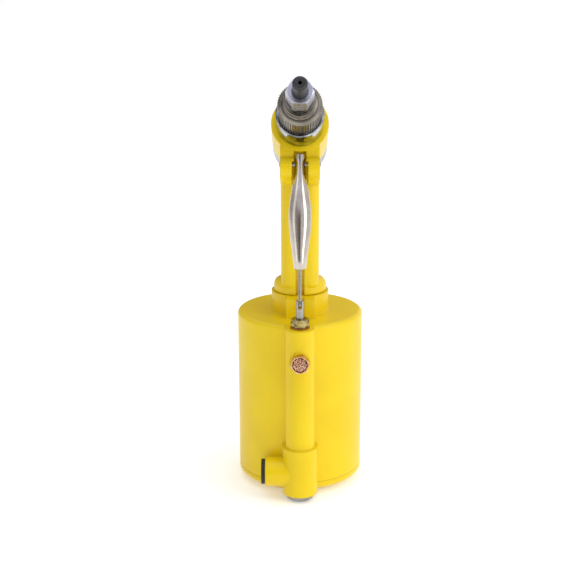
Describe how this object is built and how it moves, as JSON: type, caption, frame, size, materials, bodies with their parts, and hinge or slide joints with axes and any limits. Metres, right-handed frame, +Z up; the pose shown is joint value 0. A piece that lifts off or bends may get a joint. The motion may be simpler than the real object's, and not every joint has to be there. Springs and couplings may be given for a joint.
{
  "type": "hydro-pneumatic blind rivet gun",
  "caption": "Air-powered hydraulic riveter: wide air cylinder as its foot, straight handle, tilted head with knurled nose, and a long lever that pushes a valve stem",
  "frame": {"origin": "centre of the air cylinder's base, on the plane the tool stands on", "axes": "+Z up along the air cylinder and handle, -Y towards the nose, +X to the right seen from the nose's side"},
  "size_m": [0.094, 0.1474, 0.3157],
  "materials": {
    "yellow_paint": "gloss",
    "cap_paint": "gloss",
    "rubber": "matte",
    "lever_steel": "polished",
    "steel": "satin",
    "chrome": "polished",
    "knurled_steel": "polished",
    "zinc": "satin",
    "black_steel": "black oxide",
    "alloy": "machined",
    "bronze": "sintered",
    "passivated": "yellow passivated",
    "copper": "plain",
    "spring_steel": "plain"
  },
  "bodies": {
    "frame": {"air_cylinder": "yellow_paint", "bottom_cap": "cap_paint", "cap_seal": "rubber", "rubber_foot": "rubber", "inlet_ring": "rubber", "silencer_body": "bronze", "silencer_filter": "bronze", "bumper": "rubber", "ram_gland": "alloy", "ram_seal": "rubber", "gland_nut": "passivated", "copper_washer": "copper", "stem_seal": "rubber", "valve_plug": "steel", "valve_spring": "spring_steel", "handle_casting": "yellow_paint", "lever_pin": "steel", "oil_screw": "black_steel", "rear_cap": "alloy", "stem_tube": "steel", "return_spring": "spring_steel", "rod_seal": "rubber", "front_sleeve": "chrome", "knurled_collar": "knurled_steel", "nose_nut": "zinc", "nosepiece": "black_steel"},
    "lever": {"trigger_lever": "lever_steel", "link_pin": "steel"},
    "link": {"link_rod": "steel"},
    "stem": {"valve_stem": "steel", "fork_pin": "steel", "poppet": "alloy", "poppet_face": "rubber"},
    "air_ram": {"air_piston": "alloy", "air_piston_seal": "rubber", "ram": "steel", "ram_nut": "steel"},
    "puller": {"head_piston": "steel", "head_piston_seal": "rubber", "jaw_case": "steel", "jaw_spring": "spring_steel"},
    "pusher": {"jaw_pusher": "steel"},
    "jaw_a": {"jaw_1": "black_steel"},
    "jaw_b": {"jaw_2": "black_steel"},
    "jaw_c": {"jaw_3": "black_steel"}
  },
  "joints": [
    {"name": "lever_squeeze", "type": "hinge", "parent": "frame", "child": "lever", "pos_m": [0, -0.0335, 0.2483], "axis": [1, 0, 0], "range_deg": [0, 6.6]},
    {"name": "link_swing", "type": "hinge", "parent": "lever", "child": "link", "pos_m": [0, -0.059, 0.1823], "axis": [1, 0, 0], "range_deg": [-20.4, 0.5]},
    {"name": "stem_push", "type": "slide", "parent": "frame", "child": "stem", "axis": [0, 0, -1], "range_m": [0, 0.00391], "stiffness_N_per_m": 300, "springref_m": -0.01, "deforming": ["valve_spring"]},
    {"name": "air_stroke", "type": "slide", "parent": "frame", "child": "air_ram", "axis": [0, 0, 1], "range_m": [0, 0.064]},
    {"name": "pull_stroke", "type": "slide", "parent": "frame", "child": "puller", "axis": [0, 0.9063, -0.4226], "range_m": [0, 0.0201], "deforming": ["return_spring"]},
    {"name": "pusher_step", "type": "slide", "parent": "puller", "child": "pusher", "axis": [0, -0.9063, 0.4226], "range_m": [0, 0.0025], "deforming": ["jaw_spring"]},
    {"name": "jaw_a_grip", "type": "slide", "parent": "puller", "child": "jaw_a", "axis": [-0.1961, -0.8887, 0.4144], "range_m": [0, 0.0025]},
    {"name": "jaw_b_grip", "type": "slide", "parent": "puller", "child": "jaw_b", "axis": [0.0981, -0.9605, 0.2605], "range_m": [0, 0.0025]},
    {"name": "jaw_c_grip", "type": "slide", "parent": "puller", "child": "jaw_c", "axis": [0.0981, -0.8169, 0.5683], "range_m": [0, 0.0025]}
  ],
  "couplings": [
    {"joint": "lever_squeeze", "follows": "stem_push", "rad_per_m": 29.022},
    {"joint": "link_swing", "follows": "stem_push", "rad_per_m": -88.85},
    {"joint": "pull_stroke", "follows": "air_stroke", "ratio": 0.3125},
    {"joint": "pusher_step", "follows": "air_stroke", "ratio": 0.03677},
    {"joint": "jaw_a_grip", "follows": "air_stroke", "ratio": 0.0375},
    {"joint": "jaw_b_grip", "follows": "air_stroke", "ratio": 0.0375},
    {"joint": "jaw_c_grip", "follows": "air_stroke", "ratio": 0.0375}
  ]
}
